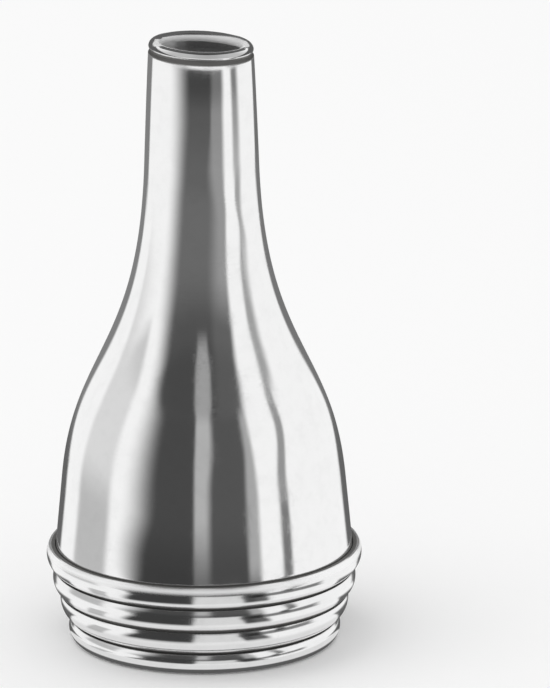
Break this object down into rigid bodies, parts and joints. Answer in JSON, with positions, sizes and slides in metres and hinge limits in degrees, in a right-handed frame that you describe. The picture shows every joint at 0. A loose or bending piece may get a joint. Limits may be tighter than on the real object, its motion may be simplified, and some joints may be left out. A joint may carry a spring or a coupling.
{
  "type": "ear speculum",
  "caption": "Polished metal ear speculum: a slim oval-tipped funnel that flares to a bell, seated in a ribbed grip collar at its wide mouth.",
  "frame": {"origin": "centre of the mouth rim, in the plane that the speculum stands on", "axes": "+Z along the axis from the mouth to the tip, +X along the wide way of the oval tip"},
  "size_m": [0.02, 0.02, 0.0395],
  "materials": {
    "funnel_metal": "mirror polished plate over spun sheet metal, lightly worn",
    "collar_metal": "mirror polished plate over a turned ring, darker in its grooves",
    "solder": "dull grey solder"
  },
  "bodies": {
    "root": {"funnel": "funnel_metal", "grip_collar": "collar_metal", "solder_seam": "solder"}
  },
  "joints": []
}
